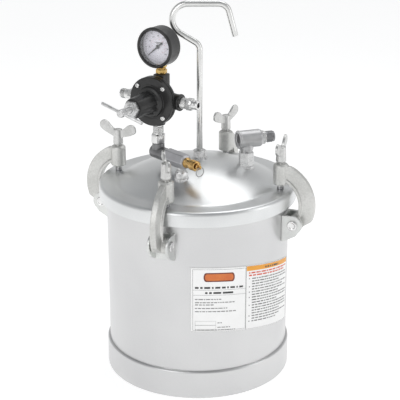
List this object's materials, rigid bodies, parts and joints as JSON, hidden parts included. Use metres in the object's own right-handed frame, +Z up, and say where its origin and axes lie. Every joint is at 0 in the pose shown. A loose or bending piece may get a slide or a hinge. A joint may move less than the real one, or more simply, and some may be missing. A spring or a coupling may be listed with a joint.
{
  "type": "resin pressure pot",
  "caption": "Clamped steel pressure pot with an air regulator and gauge, a relief valve with a pull ring, a fluid outlet tee and a hanging hook on its domed lid.",
  "frame": {"origin": "centre of the foot ring, on the floor", "axes": "+Z up; -Y is the front clamp; the regulator is at the front left, the fluid outlet at the right back"},
  "size_m": [0.3248, 0.3248, 0.5019],
  "materials": {
    "galvanised_steel": "pale silver-grey coated steel, satin",
    "bracket_steel": "coated pressed steel, satin",
    "zinc_plate": "bright zinc plate",
    "lid_steel": "grey coated pressed steel, satin",
    "gasket_rubber": "matt black rubber",
    "fitting_zinc": "zinc-plated machined steel",
    "dark_fitting": "dark plated steel",
    "brass": "turned brass",
    "spring_steel": "plain steel",
    "black_casting": "black enamel on die casting, semi-gloss",
    "lens": "clear glass",
    "dial": "white enamel with printed ticks",
    "needle_black": "black paint",
    "label_film": "white printed film",
    "cast_clamp": "cast, zinc plated, satin",
    "screw_zinc": "cast wing on a plated screw",
    "pad_steel": "plain steel"
  },
  "bodies": {
    "tank": {"tank_shell": "galvanised_steel", "foot_ring": "galvanised_steel", "tank_rim": "galvanised_steel", "bracket_front": "bracket_steel", "bracket_right": "bracket_steel", "bracket_back": "bracket_steel", "bracket_left": "bracket_steel", "pivot_pins": "zinc_plate", "pin_clips": "zinc_plate", "spec_label": "label_film"},
    "lid": {"lid_shell": "lid_steel", "lid_gasket": "gasket_rubber", "centre_boss": "fitting_zinc", "hook_rod": "zinc_plate", "air_port": "fitting_zinc", "outlet_port": "fitting_zinc", "manifold_body": "fitting_zinc", "manifold_ring": "fitting_zinc", "manifold_tee": "dark_fitting", "union_nut": "fitting_zinc", "riser_nipple": "fitting_zinc", "relief_body": "brass", "relief_spring": "spring_steel", "dip_tube": "spring_steel", "outlet_tee": "fitting_zinc", "outlet_nipple": "fitting_zinc", "regulator_body": "black_casting", "regulator_bonnet": "black_casting", "bonnet_screws": "zinc_plate", "bonnet_nut": "zinc_plate", "diaphragm": "gasket_rubber", "regulator_spring": "spring_steel", "air_inlet_nipple": "fitting_zinc", "air_outlet_fitting": "fitting_zinc", "gauge_case": "black_casting", "gauge_bezel": "black_casting", "gauge_lens": "lens", "gauge_dial": "dial", "gauge_stem": "brass", "bourdon_tube": "brass"},
    "spring_seat": {"spring_seat": "spring_steel"},
    "t_screw": {"t_screw": "zinc_plate", "t_bar": "zinc_plate"},
    "gauge_needle": {"gauge_needle": "needle_black"},
    "relief_stem": {"relief_stem": "brass"},
    "relief_ring": {"relief_ring": "zinc_plate"},
    "clamp_front": {"clamp_arm_front": "cast_clamp"},
    "pad_front": {"screw_pad_front": "pad_steel"},
    "screw_front": {"wing_screw_front": "screw_zinc"},
    "clamp_right": {"clamp_arm_right": "cast_clamp"},
    "pad_right": {"screw_pad_right": "pad_steel"},
    "screw_right": {"wing_screw_right": "screw_zinc"},
    "clamp_back": {"clamp_arm_back": "cast_clamp"},
    "pad_back": {"screw_pad_back": "pad_steel"},
    "screw_back": {"wing_screw_back": "screw_zinc"},
    "clamp_left": {"clamp_arm_left": "cast_clamp"},
    "pad_left": {"screw_pad_left": "pad_steel"},
    "screw_left": {"wing_screw_left": "screw_zinc"}
  },
  "joints": [
    {"name": "lid_lift", "type": "slide", "parent": "tank", "child": "lid", "axis": [0, 0, 1], "range_m": [0, 0.021]},
    {"name": "clamp_swing_front", "type": "hinge", "parent": "tank", "child": "clamp_front", "pos_m": [0, -0.136, 0.218], "axis": [1, 0, 0], "range_deg": [0, 120.4]},
    {"name": "clamp_swing_right", "type": "hinge", "parent": "tank", "child": "clamp_right", "pos_m": [0.136, 0, 0.218], "axis": [0, 1, 0], "range_deg": [0, 120.4]},
    {"name": "clamp_swing_back", "type": "hinge", "parent": "tank", "child": "clamp_back", "pos_m": [0, 0.136, 0.218], "axis": [-1, 0, 0], "range_deg": [0, 120.4]},
    {"name": "clamp_swing_left", "type": "hinge", "parent": "tank", "child": "clamp_left", "pos_m": [-0.136, 0, 0.218], "axis": [0, -1, 0], "range_deg": [0, 120.4]},
    {"name": "pad_travel_front", "type": "slide", "parent": "clamp_front", "child": "pad_front", "axis": [0, 0, 1], "range_m": [0, 0.0121]},
    {"name": "screw_turn_front", "type": "hinge", "parent": "pad_front", "child": "screw_front", "pos_m": [0, -0.115, 0.3], "axis": [0, 0, 1], "range_deg": [0, 2880]},
    {"name": "pad_travel_right", "type": "slide", "parent": "clamp_right", "child": "pad_right", "axis": [0, 0, 1], "range_m": [0, 0.0121]},
    {"name": "screw_turn_right", "type": "hinge", "parent": "pad_right", "child": "screw_right", "pos_m": [0.115, 0, 0.3], "axis": [0, 0, 1], "range_deg": [0, 2880]},
    {"name": "pad_travel_back", "type": "slide", "parent": "clamp_back", "child": "pad_back", "axis": [0, 0, 1], "range_m": [0, 0.0121]},
    {"name": "screw_turn_back", "type": "hinge", "parent": "pad_back", "child": "screw_back", "pos_m": [0, 0.115, 0.3], "axis": [0, 0, 1], "range_deg": [0, 2880]},
    {"name": "pad_travel_left", "type": "slide", "parent": "clamp_left", "child": "pad_left", "axis": [0, 0, 1], "range_m": [0, 0.0121]},
    {"name": "screw_turn_left", "type": "hinge", "parent": "pad_left", "child": "screw_left", "pos_m": [-0.115, 0, 0.3], "axis": [0, 0, 1], "range_deg": [0, 2880]},
    {"name": "seat_travel", "type": "slide", "parent": "lid", "child": "spring_seat", "axis": [0.2079, 0.9781, 0], "range_m": [0, 0.0121], "deforming": ["regulator_spring"]},
    {"name": "t_screw_turn", "type": "hinge", "parent": "spring_seat", "child": "t_screw", "pos_m": [-0.04114, -0.03725, 0.3785], "axis": [0.2079, 0.9781, 0], "range_deg": [0, 2880]},
    {"name": "needle_swing", "type": "hinge", "parent": "lid", "child": "gauge_needle", "pos_m": [-0.04016, -0.03265, 0.4465], "axis": [0.2079, 0.9781, 0], "range_deg": [0, 260], "stiffness_Nm_per_rad": 0.0005, "springref_deg": -11.46},
    {"name": "relief_pull", "type": "slide", "parent": "lid", "child": "relief_stem", "axis": [0.866, -0.5, 0], "range_m": [0, 0.003], "stiffness_N_per_m": 400, "springref_m": -0.003, "deforming": ["relief_spring"]},
    {"name": "ring_swing", "type": "hinge", "parent": "relief_stem", "child": "relief_ring", "pos_m": [0.03187, -0.0794, 0.3065], "axis": [-0.5, -0.866, 0], "range_deg": [-20, 90]}
  ],
  "couplings": [
    {"joint": "clamp_swing_front", "follows": "lid_lift", "rad_per_m": 100},
    {"joint": "clamp_swing_right", "follows": "lid_lift", "rad_per_m": 100},
    {"joint": "clamp_swing_back", "follows": "lid_lift", "rad_per_m": 100},
    {"joint": "clamp_swing_left", "follows": "lid_lift", "rad_per_m": 100},
    {"joint": "pad_travel_front", "follows": "screw_turn_front", "m_per_rad": 0.00023873},
    {"joint": "pad_travel_right", "follows": "screw_turn_right", "m_per_rad": 0.00023873},
    {"joint": "pad_travel_back", "follows": "screw_turn_back", "m_per_rad": 0.00023873},
    {"joint": "pad_travel_left", "follows": "screw_turn_left", "m_per_rad": 0.00023873},
    {"joint": "seat_travel", "follows": "t_screw_turn", "m_per_rad": 0.00023873}
  ]
}
